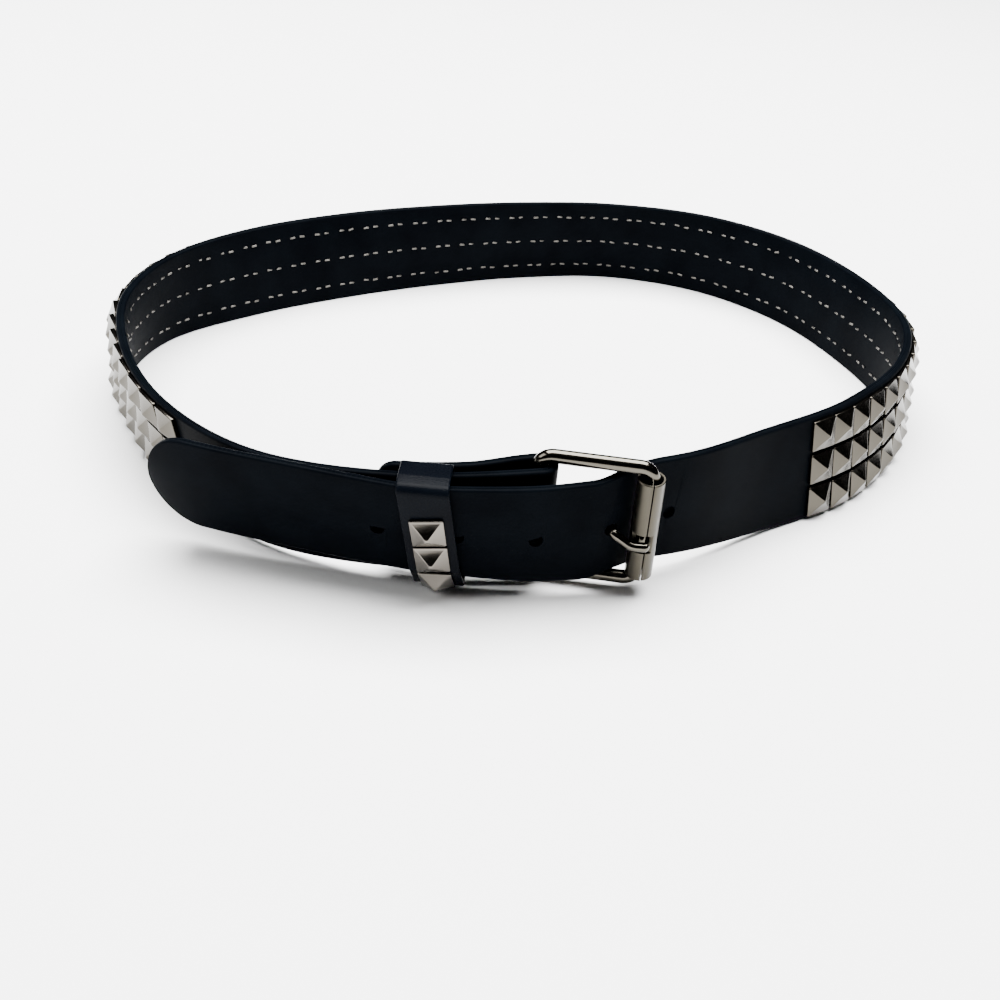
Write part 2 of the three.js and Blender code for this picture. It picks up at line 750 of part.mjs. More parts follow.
// The field of studs, fused by a thin web that lies on the strap's outer face
function makeStudField() {
  const bottomMargin = (strapWidth - (studRows - 1) * studRowPitch) / 2;
  const base = strapThickness / 2 + studSeat;
  const half = studSize / 2;
  const rowEdges = [];
  for (let row = 0; row < studRows; row += 1) {
    const middle = bottomMargin + row * studRowPitch;
    rowEdges.push(middle - half, middle + half);
  }
  const last = loopLength - studsFromPivot - half;
  const lines = [];
  const apexes = [];
  for (let column = studColumns - 1; column >= 0; column -= 1) {
    const middle = last - column * studPitch;
    for (const distance of [middle - half, middle + half]) {
      lines.push({ point: loopPoint(distance, 0), side: loopAt(distance).out });
    }
    const point = loopPoint(middle, 0);
    const side = loopAt(middle).out;
    for (let row = 0; row < studRows; row += 1) {
      apexes.push(sectionPoint(point, side, base + studHeight, bottomMargin + row * studRowPitch));
    }
  }
  const positions = [];
  const wide = rowEdges.length;
  for (const out of [base, base + studWeb]) {
    for (const { point, side } of lines) {
      for (const up of rowEdges) {
        positions.push(...sectionPoint(point, side, out, up).toArray());
      }
    }
  }
  for (const apex of apexes) positions.push(...apex.toArray());
  const upper = lines.length * wide;
  const apexStart = 2 * upper;
  const faces = [];
  const quad = (a, b, c, d) => faces.push(a, b, c, a, c, d);
  for (let i = 0; i < lines.length - 1; i += 1) {
    for (let j = 0; j < wide - 1; j += 1) {
      const a = i * wide + j;
      const corners = [a, a + wide, a + wide + 1, a + 1];
      quad(corners[0], corners[3], corners[2], corners[1]);
      const raised = corners.map((corner) => corner + upper);
      if (i % 2 === 0 && j % 2 === 0) {
        const apex = apexStart + (i / 2) * studRows + j / 2;
        for (let k = 0; k < 4; k += 1) faces.push(raised[k], raised[(k + 1) % 4], apex);
      } else {
        quad(...raised);
      }
    }
    const low = i * wide;
    const high = low + wide - 1;
    quad(low, low + wide, low + wide + upper, low + upper);
    quad(high, high + upper, high + wide + upper, high + wide);
  }
  for (let j = 0; j < wide - 1; j += 1) {
    const end = (lines.length - 1) * wide + j;
    quad(j, j + upper, j + 1 + upper, j + 1);
    quad(end, end + 1, end + 1 + upper, end + upper);
  }
  return outwardBody(positions, faces);
}

const belt = new THREE.Group();
belt.add(named("strap", makeStrap(), leather));
belt.add(named("stud_field", makeStudField(), nickel));
belt.add(makeKeeper());
belt.add(makeBuckle());

// The origin goes under the middle of the belt, at the height of its lowest edge
belt.updateMatrixWorld(true);
const extent = new THREE.Box3().setFromObject(belt, true);
const centre = extent.getCenter(new THREE.Vector3());
belt.position.set(-centre.x, -centre.y, -extent.min.z);

const group = new THREE.Group();
group.add(belt);
group.updateMatrixWorld(true);

export default group;
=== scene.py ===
import math
import random

import bmesh
import bpy
from mathutils import Matrix, Vector


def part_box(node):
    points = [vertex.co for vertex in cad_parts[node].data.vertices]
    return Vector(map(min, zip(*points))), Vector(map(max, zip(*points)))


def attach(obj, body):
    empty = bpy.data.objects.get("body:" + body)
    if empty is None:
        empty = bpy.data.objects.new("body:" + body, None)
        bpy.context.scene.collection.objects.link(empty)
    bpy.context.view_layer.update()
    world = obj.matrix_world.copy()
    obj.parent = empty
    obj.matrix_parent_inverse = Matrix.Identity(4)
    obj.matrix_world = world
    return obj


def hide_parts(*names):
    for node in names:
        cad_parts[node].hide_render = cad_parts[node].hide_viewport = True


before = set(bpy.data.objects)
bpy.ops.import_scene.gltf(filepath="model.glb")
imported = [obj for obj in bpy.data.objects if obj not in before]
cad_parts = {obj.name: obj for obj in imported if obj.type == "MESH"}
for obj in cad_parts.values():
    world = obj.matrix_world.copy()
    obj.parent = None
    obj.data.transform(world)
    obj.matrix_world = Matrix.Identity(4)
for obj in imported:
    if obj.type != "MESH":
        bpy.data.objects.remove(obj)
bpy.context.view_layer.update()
print("stage: frame loaded")

mm = 0.001
sharpAngle = math.radians(38)
rng = random.Random(38)

# Sizes in mm, as in the CAD part. The holes are narrower here and the keeper's studs taller
loop = {"width": 303, "depth": 265, "steps": 800}
strap = {
    "width": 38, "thickness": 3.2, "edgeRound": 0.95, "plyLine": 0.22, "step": 2,
    "foldedEnd": 49.5, "foldedCorner": 6, "tip": 15, "slot": 9, "plyDip": 0.03,
    "edgeSteps": 4, "cornerSteps": 8, "foldSteps": 24, "tipSteps": 22,
}
freeEnd = {"length": 119, "rise": 2.3, "lean": 7, "curl": 0.3, "sag": 1.2, "foldBulge": 1.5}
hole = {
    "diameter": 4.4, "pitch": 22.6, "drop": 1.5, "first": -1, "last": 3, "reach": 21.2, "flare": 0.16,
    "flareWaist": 0.4, "flareEase": 0.35, "blindShare": 0.5, "sides": 28,
}
buckle = {
    "wire": 4.5, "length": 34.5, "ease": 0.7, "yaw": 15.5, "tip": 1.3, "rise": 1, "pivotBend": 4.5,
    "rollerBend": 4.4, "roller": 8.6, "rollerWall": 0.8, "rollerLength": 37.6, "rollerDrop": 0.1,
    "rollerOut": 0.5, "rollerTurn": 1.6, "notch": 7, "notchDepth": 1.2,
    "prong": 3.2, "prongBend": 2.4, "prongDroop": 3.4, "prongLift": 1,
    "domeAngle": 88, "domeSteps": 6, "eyeFrom": 350, "eyeTo": 90, "eyeSteps": 28, "prongSides": 24,
}
keeper = {
    "place": 31, "width": 15.6, "thickness": 1.4, "ease": 0.6, "slant": 5.4, "bulge": 3,
    "stud": 10.3, "studHeight": 4.2, "studPitch": 10.8, "studTilt": 25, "edgeSoft": 0.75,
    "edgeSteps": 3, "bendDegrees": 9,
}
studs = {
    "size": 10.9, "height": 3.6, "rim": 0.8, "pitch": 11.72, "rowPitch": 12.2, "rows": 3,
    "columns": 55, "fromPivot": 111, "seat": 0.6,
}
# air between hard pieces, and between two layers of the strap
gap = 0.3
plyGap = 0.5

# The loop from above, clockwise from the buckle: x and y as shares of its size, lean in degrees,
# lift as a share of the buckle's
stations = [
    (0.031, -0.491, 7.1, 1), (-0.106, -0.502, 9.5, 0.65), (-0.246, -0.461, 11.1, 0.24),
    (-0.355, -0.358, 11.5, 0.06), (-0.438, -0.221, 7.1, 0), (-0.498, -0.073, -5.4, 0),
    (-0.476, 0.077, -5.6, 0), (-0.38, 0.199, 2.9, 0), (-0.266, 0.3, 4, 0),
    (-0.143, 0.386, -0.2, 0), (-0.013, 0.457, -5, 0), (0.125, 0.499, -7.6, 0),
    (0.267, 0.471, -3.7, 0), (0.383, 0.373, 1.7, 0), (0.458, 0.233, 4.3, 0),
    (0.5, 0.074, 0.1, 0), (0.479, -0.083, -6.8, 0), (0.4, -0.225, -10.8, 0),
    (0.287, -0.33, -5.8, 0.17), (0.172, -0.431, 2.6, 0.78),
]


# Places along the loop

def smooth(value, low, high):
    t = min(1, max(0, (value - low) / (high - low)))
    return t * t * (3 - 2 * t)


def mix(a, b, t):
    return a + (b - a) * t


def catmull(points, t):
    count = len(points)
    place = (t % 1) * count
    i = int(place)
    w = place - i
    before, a, b, after = (points[(i + k) % count] for k in (-1, 0, 1, 2))
    out = []
    for p0, p1, p2, p3 in zip(before, a, b, after):
        t0 = 0.5 * (p2 - p0)
        t1 = 0.5 * (p3 - p1)
        out.append(p1 + t0 * w + (-3 * p1 + 3 * p2 - 2 * t0 - t1) * w * w
                   + (2 * p1 - 2 * p2 + t0 + t1) * w * w * w)
    return out


plyStep = strap["thickness"] + plyGap
foldRadius = buckle["wire"] / 2 + 2 * gap + strap["thickness"] / 2
buckleLift = (buckle["ease"] + buckle["wire"] + buckle["rise"] + buckle["length"]
              * math.sin(math.radians(buckle["yaw"])) * math.sin(math.radians(stations[0][2])))
controls = [(x * loop["width"], y * loop["depth"], lift * buckleLift, math.radians(lean))
            for x, y, lean, lift in stations]
table = [0]
last = catmull(controls, 0)
for i in range(1, loop["steps"] + 1):
    here = catmull(controls, i / loop["steps"])
    table.append(table[-1] + math.hypot(here[0] - last[0], here[1] - last[1]))
    last = here
loopLength = table[-1]


def leftOf(direction):
    return Vector((-direction.y, direction.x))


# The loop at a distance from the pivot bar: place, direction, outward side, lean, lift
def loopAt(distance):
    wrapped = distance % loopLength
    low = 0
    high = loop["steps"]
    while high - low > 1:
        middle = (low + high) // 2
        if table[middle] > wrapped:
            high = middle
        else:
            low = middle
    share = (wrapped - table[low]) / (table[high] - table[low])
    t = (low + share) / loop["steps"]
    step = 0.25 / loop["steps"]
    x, y, lift, lean = catmull(controls, t)
    ahead = catmull(controls, t + step)
    behind = catmull(controls, t - step)
    along = Vector((ahead[0] - behind[0], ahead[1] - behind[1])).normalized()
    return {"place": Vector((x, y)), "along": along, "out": leftOf(along), "lean": lean,
            "lift": max(0, lift)}


# One point of the strap's line: plan, lean, lower edge, and how much of the width is there
def strapPoint(place, out, lean, lift):
    return {"place": place, "tilt": out * math.sin(lean), "rise": math.cos(lean), "lift": lift,
            "inset": 0}


# The buckle's weight turns it in its own plane, and the strap behind it turns along
def tipped(point, along, share):
    point["tilt"] = point["tilt"] + along * math.sin(math.radians(buckle["tip"])) * share
    return point


def loopPoint(distance, offset):
    at = loopAt(distance)
    point = strapPoint(at["place"] + at["out"] * offset, at["out"], at["lean"], at["lift"])
    return tipped(point, at["along"], 1 - smooth(distance, 0, strap["foldedEnd"]))


# How far inside the loop the folded end lies, from the fold to behind the keeper
def foldedOffset(distance):
    behindKeeper = strap["thickness"] + keeper["thickness"] + 2 * keeper["ease"] + gap
    run = keeper["place"] - keeper["width"] / 2
    return -mix(2 * foldRadius, behindKeeper, smooth(distance, 0, run))


# How far outside the loop the free end lies; past is the distance past the pivot bar
def freeEndOffset(past):
    overFold = (smooth(past, -buckle["length"], -buckle["length"] / 2)
                * (1 - smooth(past, 0, keeper["place"])))
    rises = smooth(past, -buckle["length"] * 1.15, -buckle["length"] / 2)
    return plyStep * rises + freeEnd["foldBulge"] * overFold


keeperEnd = keeper["place"] + keeper["width"] / 2 + keeper["slant"] / 2


def freeEndTilt(past):
    return math.radians(freeEnd["lean"]) * smooth(past, -buckle["length"] * 0.6, keeper["place"] * 1.4)


def freeEndLift(past, loopLift):
    sag = freeEnd["sag"] * (1 - smooth(past, -buckle["length"] / 4, keeper["place"] * 0.65))
    hung = smooth(past, -buckle["length"] * 0.7, -buckle["length"] * 0.4)
    rise = freeEnd["rise"] * smooth(past, keeper["place"] * 0.5, freeEnd["length"] * 0.7)
    return (loopLift if past < 0 else buckleLift) - (buckle["rise"] + sag) * hung + rise


def freeEndPoint(past):
    tilt = freeEndTilt(past)
    if past <= keeperEnd:
        at = loopAt(loopLength + past)
        place = at["place"] + at["out"] * freeEndOffset(past)
        return strapPoint(place, at["out"], at["lean"] + tilt, freeEndLift(past, at["lift"]))
    startAt = loopAt(keeperEnd)
    place = loopPoint(loopLength + keeperEnd, freeEndOffset(keeperEnd))["place"].copy()
    startAngle = math.atan2(startAt["along"].y, startAt["along"].x)
    steps = math.ceil(past - keeperEnd)
    length = (past - keeperEnd) / steps
    heading = startAt["along"]
    for i in range(steps):
        along = loopAt(keeperEnd + (i + 0.5) * length)["along"]
        turned = math.atan2(along.y, along.x) - startAngle
        turned = math.atan2(math.sin(turned), math.cos(turned))
        angle = startAngle + turned * freeEnd["curl"]
        heading = Vector((math.cos(angle), math.sin(angle)))
        place += heading * length
    return strapPoint(place, leftOf(heading), startAt["lean"] + tilt,
                      freeEndLift(past, startAt["lift"]))


# A point of the strap: out from its middle layer, and up from its lower edge
def sectionPoint(point, side, out, up):
    flat = point["place"] + side * out + point["tilt"] * up
    return Vector((flat.x, flat.y, point["lift"] + point["rise"] * up))


# Meshes

def meshObject(name, points, faces, smoothFaces=True):
    mesh = bpy.data.meshes.new(name)
    mesh.from_pydata([p[:] for p in points], [], faces)
    mesh.validate()
    mesh.update()
    if smoothFaces:
        mesh.shade_smooth()
    piece = bpy.data.objects.new(name, mesh)
    bpy.context.scene.collection.objects.link(piece)
    return piece


# Faces through rings of equal length
def ringFaces(rings, closed):
    count = len(rings[0])
    faces = []
    spans = len(rings) if closed else len(rings) - 1
    for i in range(spans):
        a = i * count
        b = ((i + 1) % len(rings)) * count
        for j in range(count):
            k = (j + 1) % count
            faces.append((a + j, b + j, b + k, a + k))
    if not closed:
        end = (len(rings) - 1) * count
        faces.append(tuple(range(count - 1, -1, -1)))
        faces.append(tuple(end + j for j in range(count)))
    return [p for ring in rings for p in ring], faces


def turnOutward(piece):
    work = bmesh.new()
    work.from_mesh(piece.data)
    bmesh.ops.recalc_face_normals(work, faces=work.faces)
    work.to_mesh(piece.data)
    work.free()
    return piece


def cutBy(piece, cutter):
    change = piece.modifiers.new("cut", "BOOLEAN")
    change.operation = "DIFFERENCE"
    change.solver = "EXACT"
    change.object = cutter
    bpy.context.view_layer.update()
    shown = piece.evaluated_get(bpy.context.evaluated_depsgraph_get())
    result = bpy.data.meshes.new_from_object(shown)
    piece.modifiers.clear()
    piece.data = result
    bpy.data.objects.remove(cutter)


# From the loop's own mm to the frame's metres
def toFrame(piece):
    piece.data.transform(Matrix.Diagonal((mm, mm, mm, 1)) @ Matrix.Translation(shift))
    piece.data.update()


# Strap

# Half of the section's outline at one edge, with the line between the two plies of leather:
# out from the middle, and in from the very edge
def edgeOutline():
    half = strap["thickness"] / 2
    r = strap["edgeRound"]
    outline = []
    steps = strap["edgeSteps"]
    for i in range(steps + 1):
        angle = math.radians(90 * i / steps)
        outline.append((half - r * (1 - math.cos(angle)), r * (1 - math.sin(angle))))
    line = strap["plyLine"]
    return outline + [(line, strap["plyDip"]), (0, line)]


def strapSection():
    edge = edgeOutline()
    across = edge + [(-out, up) for out, up in reversed(edge[:-1])]
    lower = [(-out, up, 1) for out, up in across]
    upper = [(out, up, -1) for out, up in across]
    return lower + upper


def strapLine():
    line = []
    corner = strap["foldedCorner"]
    cornerSteps = strap["cornerSteps"]
    for i in range(cornerSteps):
        angle = math.radians(mix(5, 90, i / cornerSteps))
        distance = strap["foldedEnd"] - corner * (1 - math.cos(angle))
        point = loopPoint(distance, foldedOffset(distance))
        point["inset"] = corner * (1 - math.sin(angle))
        line.append(point)
    run = strap["foldedEnd"] - corner
    steps = math.ceil(run / strap["step"])
    for i in range(steps):
        distance = run * (1 - i / steps)
        line.append(loopPoint(distance, foldedOffset(distance)))
    pivot = loopAt(0)
    foldSteps = strap["foldSteps"]
    for i in range(foldSteps + 1):
        angle = math.pi * (i / foldSteps - 0.5)
        place = (pivot["place"] - pivot["along"] * foldRadius * math.cos(angle)
                 + pivot["out"] * foldRadius * (math.sin(angle) - 1))
        line.append(tipped(strapPoint(place, pivot["out"], pivot["lean"], pivot["lift"]),
                           pivot["along"], 1))
    full = loopLength + freeEnd["length"] - strap["tip"]
    steps = math.ceil(full / strap["step"])
    for i in range(1, steps + 1):
        distance = full * i / steps
        if distance < loopLength - 2 * buckle["length"]:
            line.append(loopPoint(distance, 0))
        else:
            line.append(freeEndPoint(distance - loopLength))
    tipSteps = strap["tipSteps"]
    for i in range(tipSteps - 1, -1, -1):
        angle = math.radians(mix(3, 90, i / tipSteps))
        point = freeEndPoint(freeEnd["length"] - strap["tip"] * (1 - math.cos(angle)))
        point["inset"] = strap["width"] / 2 * (1 - math.sin(angle))
        line.append(point)
    return line


def lineSides(line):
    sides = []
    for i in range(len(line)):
        before = line[max(0, i - 1)]["place"]
        after = line[min(len(line) - 1, i + 1)]["place"]
        sides.append(leftOf((after - before).normalized()))
    return sides


def strapMesh():
    line = strapLine()
    sides = lineSides(line)
    section = strapSection()
    rings = []
    for point, side in zip(line, sides):
        low = point["inset"]
        high = strap["width"] - point["inset"]
        ring = []
        for out, up, end in section:
            level = low + up if end > 0 else high - up
            ring.append(sectionPoint(point, side, out, level))
        rings.append(ring)
    return ringFaces(rings, False)


points, faces = strapMesh()
ownLow = Vector((min(p.x for p in points), min(p.y for p in points), min(p.z for p in points)))
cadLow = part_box("strap")[0] / mm
shift = Vector((cadLow.x - ownLow.x, cadLow.y - ownLow.y, 0))
print("shift of the loop", [round(v, 3) for v in shift])


def freeEndFrame(past):
    point = freeEndPoint(past)
    ahead = freeEndPoint(past + 0.5)["place"]
    behind = freeEndPoint(past - 0.5)["place"]
    return point, leftOf((ahead - behind).normalized())


# Round cutter whose ends flare at the strap's faces, along a level direction. The hole right of the
# roller shows no light in the photo, so its cutter stops short of the inner face
def holeCutter(middle, side, through):
    half = strap["thickness"] / 2
    radius = hole["diameter"] / 2
    flare = hole["flare"]
    axis = Vector((side.x, side.y, 0))
    across = Vector((-side.y, side.x, 0))
    rings = []
    profile = [(half + plyGap * 0.4, flare * 2), (half, flare),
               (half - flare * hole["flareWaist"], flare * hole["flareEase"]), (half - flare, 0)]
    inner = [(-o, m) for o, m in reversed(profile)] if through else [(-half * hole["blindShare"], 0)]
    for out, more in profile + inner:
        ring = []
        for j in range(hole["sides"]):
            angle = 2 * math.pi * j / hole["sides"]
            around = across * math.cos(angle) + Vector((0, 0, 1)) * math.sin(angle)
            ring.append(middle + axis * out + around * (radius + more))
        rings.append(ring)
    return ringFaces(rings, False)


# The buckle stands upright in the fold: from its own axes to the loop's
def buckleMatrix():
    pivot = loopAt(0)
    middle = tipped(strapPoint(pivot["place"], pivot["out"], pivot["lean"], pivot["lift"]),
                    pivot["along"], 1)
    up = Vector((middle["tilt"].x, middle["tilt"].y, middle["rise"])).normalized()
    inward = up.cross(Vector((-pivot["along"].x, -pivot["along"].y, 0))).normalized()
    forward = inward.cross(up)
    origin = sectionPoint(middle, pivot["out"], -foldRadius, strap["width"] / 2)
    rotation = Matrix((forward, inward, up)).transposed().to_4x4()
    return Matrix.Translation(origin) @ rotation


def boxMesh(low, high):
    points = [Vector((x, y, z)) for z in (low[2], high[2]) for y in (low[1], high[1])
              for x in (low[0], high[0])]
    faces = [(0, 2, 3, 1), (4, 5, 7, 6), (0, 1, 5, 4), (2, 6, 7, 3), (0, 4, 6, 2), (1, 3, 7, 5)]
    return points, faces


strapPiece = turnOutward(meshObject("strap_leather", points, faces))
for i in range(hole["first"], hole["last"] + 1):
    point, side = freeEndFrame(i * hole["pitch"] - hole["reach"])
    middle = sectionPoint(point, side, 0, strap["width"] / 2 - hole["drop"])
    cutter = turnOutward(meshObject("hole_cutter", *holeCutter(middle, side, i >= 0)))
    cutBy(strapPiece, cutter)
slotWidth = buckle["prong"] + 6 * gap
slotDepth = 2 * foldRadius + strap["thickness"] + plyGap * 0.8
outer = foldRadius + strap["thickness"]
toWorld = buckleMatrix()
toBuckle = toWorld @ Matrix.Rotation(-math.radians(buckle["yaw"]), 4, "Z")
point, side = freeEndFrame(-hole["reach"])
height = strap["width"] / 2 - hole["drop"]
fromWorld = toBuckle.inverted()
prongMiddle = fromWorld @ sectionPoint(point, side, 0, height)
prongOut = fromWorld @ sectionPoint(point, side, 1, height) - prongMiddle
prongOut.z = 0
prongOut.normalize()
slotPoints, slotFaces = boxMesh(
    (-strap["slot"], -slotDepth / 2, prongMiddle.z - slotWidth / 2),
    (outer, slotDepth / 2, prongMiddle.z + slotWidth / 2))
cutter = turnOutward(meshObject("slot_cutter", [toWorld @ p for p in slotPoints], slotFaces))
cutBy(strapPiece, cutter)
strapPiece.data.name = "strap_leather"
strapPiece.data.set_sharp_from_angle(angle=sharpAngle)
print("stage: strap", len(strapPiece.data.polygons))


# Studs

# Square pyramid with slightly hollow facets, rounded ridges and a thin upright rim; hollow is the
# dip of a stud as tall as hollowAt
stud = {
    "levels": 9, "cornerSteps": 3, "corner": 0.5, "ridge": 0.34, "rimRound": 0.22,
    "hollow": 0.16, "hollowAt": 3.6, "apex": 0.18, "apexRound": 0.14, "apexDrop": 0.08,
}


def studMesh(size, height, rim, sink):
    half = size / 2

    # Ring of points at a half width, with its corners rounded by a radius
    def ring(reach, radius, z):
        radius = min(radius, reach)
        out = []
        for c in range(4):
            sx, sy = ((1, 1), (-1, 1), (-1, -1), (1, -1))[c]
            for k in range(stud["cornerSteps"] + 1):
                angle = math.radians(90 * c + 90 * k / stud["cornerSteps"])
                out.append(Vector((sx * (reach - radius) + radius * math.cos(angle),
                                   sy * (reach - radius) + radius * math.sin(angle), z)))
        return out

    r = stud["rimRound"]
    corner = stud["corner"]
    rings = [ring(half, corner, -sink), ring(half, corner, rim - r),
             ring(half - r * 0.3, corner, rim - r * 0.25), ring(half - r, corner, rim)]
    for i in range(1, stud["levels"] + 1):
        share = i / stud["levels"]
        reach = mix(half - r, stud["apex"], share)
        # the facet dips below the straight line from rim to apex
        dip = stud["hollow"] * math.sin(math.pi * share) * height / stud["hollowAt"]
        z = mix(rim, height, share) - dip
        if i == stud["levels"]:
            z -= stud["apexDrop"]
        rings.append(ring(reach, mix(stud["ridge"], stud["apexRound"], share), z))
    return ringFaces(rings, False)


def placed(points, origin, x, y, z):
    matrix = Matrix((x, y, z)).transposed()
    return [origin + matrix @ p for p in points]


def joined(parts):
    points = []
    faces = []
    for morePoints, moreFaces in parts:
        base = len(points)
        points += morePoints
        faces += [tuple(base + i for i in face) for face in moreFaces]
    return points, faces


studBase = strap["thickness"] / 2 + studs["seat"]
bottomMargin = (strap["width"] - (studs["rows"] - 1) * studs["rowPitch"]) / 2
studShape = studMesh(studs["size"], studs["height"], studs["rim"], studs["seat"] + 0.3)
leg = {
    "length": 2.4, "width": 0.75, "height": 0.34, "apart": 4.5, "sink": 0.25, "chamfer": 0.16,
    "corner": 0.3,
}
# how far each stud and leg is off, in degrees and mm
unevenness = {"studTurn": 0.7, "studTip": 0.5, "legRise": 0.12, "legTurn": 4, "legTip": 7}


# One flattened leg of a stud, as it shows on the inside of the strap
def legMesh():
    rings = []
    for shrink, z in ((0, -leg["sink"]), (0, leg["height"] * 0.55), (leg["chamfer"], leg["height"])):
        ring = []
        a = leg["length"] / 2 - shrink
        b = leg["width"] / 2 - shrink
        bend = min(leg["corner"], b * 0.7)
        for sx, sy, start in ((1, 1, 0), (-1, 1, 90), (-1, -1, 180), (1, -1, 270)):
            for k in range(3):
                angle = math.radians(start + 45 * k)
                ring.append(Vector((sx * (a - bend) + bend * math.cos(angle),
                                    sy * (b - bend) + bend * math.sin(angle), z)))
        rings.append(ring)
    return ringFaces(rings, False)


# A small random turn about one axis, with a spread in degrees
def looseTurn(spread, axis):
    return Matrix.Rotation(math.radians(rng.gauss(0, spread)), 3, axis)


legShape = legMesh()
studParts = []
legParts = []
farStud = loopLength - studs["fromPivot"] - studs["size"] / 2
for column in range(studs["columns"]):
    distance = farStud - column * studs["pitch"]
    at = loopAt(distance)
    point = loopPoint(distance, 0)
    along = Vector((at["along"].x, at["along"].y, 0))
    up = Vector((point["tilt"].x, point["tilt"].y, point["rise"]))
    out = along.cross(up).normalized()
    if out.dot(Vector((at["out"].x, at["out"].y, 0))) < 0:
        out = -out
    for row in range(studs["rows"]):
        level = bottomMargin + row * studs["rowPitch"]
        origin = sectionPoint(point, at["out"], studBase, level)
        # each stud sits a little differently in its row
        turn = looseTurn(unevenness["studTurn"], "Z")
        tip = looseTurn(unevenness["studTip"], "X")
        nod = looseTurn(unevenness["studTip"], "Y")
        local = [turn @ tip @ nod @ p for p in studShape[0]]
        studParts.append((placed(local, origin, -along, up, out), studShape[1]))
        for sideways in (-0.5, 0.5):
            back = sectionPoint(point, at["out"], -strap["thickness"] / 2, level)
            back += along * leg["apart"] * sideways + up * rng.gauss(0, unevenness["legRise"])
            turn = looseTurn(unevenness["legTurn"], "Z")
            tip = looseTurn(unevenness["legTip"], "Y")
            local = [turn @ tip @ p for p in legShape[0]]
            legParts.append((placed(local, back, along, up, -out), legShape[1]))
studPiece = turnOutward(meshObject("pyramid_studs", *joined(studParts)))
legPiece = turnOutward(meshObject("stud_legs", *joined(legParts)))
print("stage: studs", len(studPiece.data.polygons), len(legPiece.data.polygons))


# Paths for the keeper and the buckle's wire

# Straight runs with round bends, as points; corners are (place, bend radius)
def bentPath(corners, closed, degrees=7):
    points = []
    count = len(corners)
    for i in range(count):
        at, bend = corners[i]
        isEnd = not closed and i in (0, count - 1)
        if isEnd or bend <= 0:
            points.append(at.copy())
            continue
        toBefore = (corners[i - 1][0] - at).normalized()
        toAfter = (corners[(i + 1) % count][0] - at).normalized()
        halfAngle = toBefore.angle(toAfter) / 2
        reach = bend / math.tan(halfAngle)
        entry = at + toBefore * reach
        leave = at + toAfter * reach
        centre = at + (toBefore + toAfter).normalized() * bend / math.sin(halfAngle)
        a = entry - centre
        b = leave - centre
        angle = a.angle(b)
        steps = max(3, math.ceil(angle / math.radians(degrees)))
        for k in range(steps + 1):
            t = k / steps
            points.append(centre + a * (math.sin((1 - t) * angle) / math.sin(angle))
                          + b * (math.sin(t * angle) / math.sin(angle)))
    kept = [points[0]]
    for p in points[1:]:
        if (p - kept[-1]).length > 1e-3:
            kept.append(p)
    return kept


# Round wire along points near one plane; radiusAt gives the radius at each point
def wireMesh(points, radiusAt, normal, closed, sides=28):
    count = len(points)
    rings = []
    for i, point in enumerate(points):
        before = points[(i - 1) % count] if closed else points[max(0, i - 1)]
        after = points[(i + 1) % count] if closed else points[min(count - 1, i + 1)]
        direction = (after - before).normalized()
        across = normal.cross(direction).normalized()
        radius = radiusAt(i)
        rings.append([point + across * radius * math.cos(2 * math.pi * (j + 0.5) / sides)
                      + normal * radius * math.sin(2 * math.pi * (j + 0.5) / sides)
                      for j in range(sides)])
    return ringFaces(rings, closed)


# Keeper

# Corners of the band round the stack, with their bend radii; below the second one the band turns
# in under the free end, where the third stud sits
def keeperLine():
    middle = keeper["thickness"] / 2 + keeper["ease"]
    back = strap["thickness"] / 2 + middle
    front = -(freeEndOffset(keeper["place"]) + back)
    lean = freeEndTilt(keeperEnd)
    frontTop = front - strap["width"] * math.sin(lean)
    raised = freeEndLift(keeperEnd, 0) - loopAt(keeper["place"])["lift"]
    top = raised + strap["width"] * math.cos(lean) + middle
    tilt = math.radians(keeper["studTilt"])
    facet = keeper["stud"] + 2 * gap
    low = facet * math.cos(tilt) - middle
    bulged = front - keeper["bulge"]
    bend = keeper["thickness"]
    return [
        (Vector((0, frontTop, top)), bend * 1.5),
        (Vector((0, bulged, low)), bend),
        (Vector((0, bulged + facet * math.sin(tilt), -middle)), bend),
        (Vector((0, back, -middle)), bend),
        (Vector((0, back, strap["width"] + middle)), bend),
        (Vector((0, frontTop + 2 * back, top)), bend),
    ]


# The band runs at a slant: how far along the belt it is at a height
def slantAt(height):
    return keeper["slant"] * (0.5 - height / strap["width"])


keeperCorners = keeperLine()
pathOfKeeper = bentPath(keeperCorners, True, keeper["bendDegrees"])
half = keeper["thickness"] / 2
soft = half * keeper["edgeSoft"]
bandOutline = []
for sx, sy, start in ((1, 1, 0), (-1, 1, 90), (-1, -1, 180), (1, -1, 270)):
    for k in range(keeper["edgeSteps"] + 1):
        angle = math.radians(start + 90 * k / keeper["edgeSteps"])
        bandOutline.append((sx * (keeper["width"] / 2 - soft) + soft * math.cos(angle),
                            sy * (half - soft) + soft * math.sin(angle)))
rings = []
count = len(pathOfKeeper)
for i, point in enumerate(pathOfKeeper):
    before = pathOfKeeper[i - 1]
    after = pathOfKeeper[(i + 1) % count]
    into = (point - before).normalized()
    away = (after - point).normalized()
    direction = (into + away).normalized()
    across = Vector((0, direction.z, -direction.y))
    stretch = 1 / math.cos(into.angle(away) / 2)
    rings.append([Vector((slantAt(point.z) + x, point.y + across.y * out * stretch,
                          point.z + across.z * out * stretch)) for x, out in bandOutline])
at = loopAt(keeper["place"])
up = Vector((at["out"].x * math.sin(at["lean"]), at["out"].y * math.sin(at["lean"]),
             math.cos(at["lean"])))
forward = Vector((-at["along"].x, -at["along"].y, 0))
inward = up.cross(forward)
keeperMatrix = (Matrix.Translation(Vector((at["place"].x, at["place"].y, at["lift"])))
                @ Matrix((forward, inward, up)).transposed().to_4x4())
points, faces = ringFaces(rings, True)
